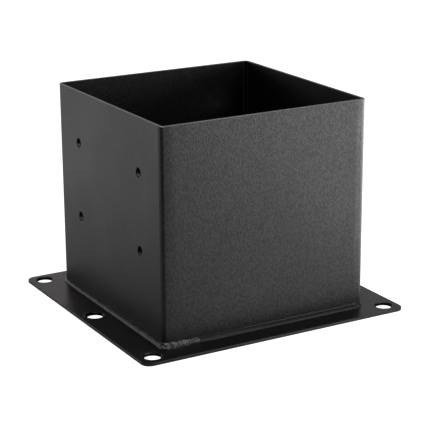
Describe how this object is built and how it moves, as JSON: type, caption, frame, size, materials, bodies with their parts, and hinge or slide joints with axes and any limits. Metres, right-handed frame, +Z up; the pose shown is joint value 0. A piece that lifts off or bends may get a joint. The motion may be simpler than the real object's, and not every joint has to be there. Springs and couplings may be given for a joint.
{
  "type": "timber post base",
  "caption": "Square open-topped steel sleeve welded upright on a flat anchor plate, holding the foot of a square timber post on concrete.",
  "frame": {"origin": "middle of the plate's upper face, where the foot of the post rests", "axes": "+Z up along the post; X through the two walls with screw holes, Y through the two plain walls"},
  "size_m": [0.19, 0.18, 0.14],
  "materials": {
    "sleeve_coat": "satin black powder coat with a fine orange-peel grain",
    "plate_coat": "satin black powder coat, smoother and glossier on the flat plate",
    "weld_coat": "satin black powder coat over rippled weld bead",
    "seam_coat": "satin black powder coat over a fine seam"
  },
  "bodies": {
    "root": {"sleeve": "sleeve_coat", "base_plate": "plate_coat", "side_welds": "weld_coat", "foot_seams": "seam_coat"}
  },
  "joints": []
}
